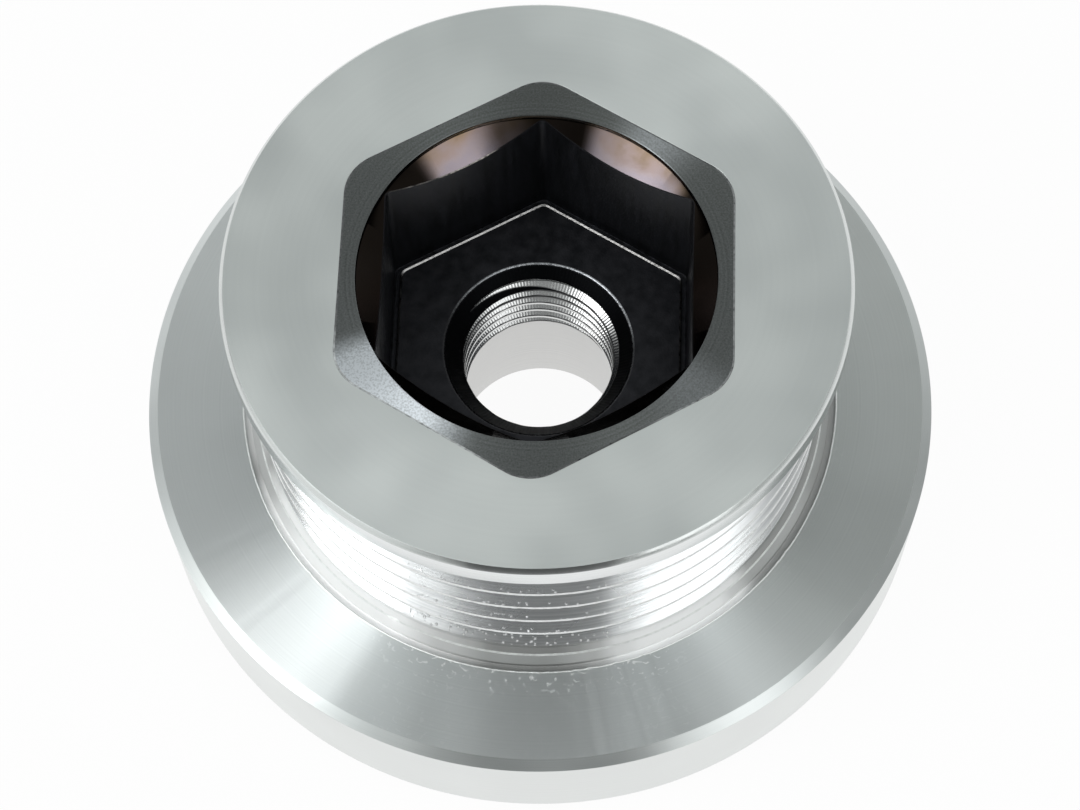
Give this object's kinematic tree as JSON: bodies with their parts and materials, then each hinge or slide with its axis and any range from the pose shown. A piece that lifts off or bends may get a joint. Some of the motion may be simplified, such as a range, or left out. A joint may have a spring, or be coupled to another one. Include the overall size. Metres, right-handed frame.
{
  "type": "alternator pulley",
  "caption": "Ribbed belt pulley for an alternator: grooved drum between a front flange and a wide rear flange, with a steel insert holding a hexagon socket and a threaded shaft bore.",
  "frame": {"origin": "centre of the rear seat face, on the shaft axis", "axes": "+Z along the shaft axis towards the front face; +Y through a corner of the hexagon socket"},
  "size_m": [0.078, 0.078, 0.0395],
  "materials": {
    "body": "turned, satin",
    "insert": "dark, black finished socket"
  },
  "bodies": {
    "root": {"pulley_body": "body", "hex_insert": "insert"}
  },
  "joints": []
}
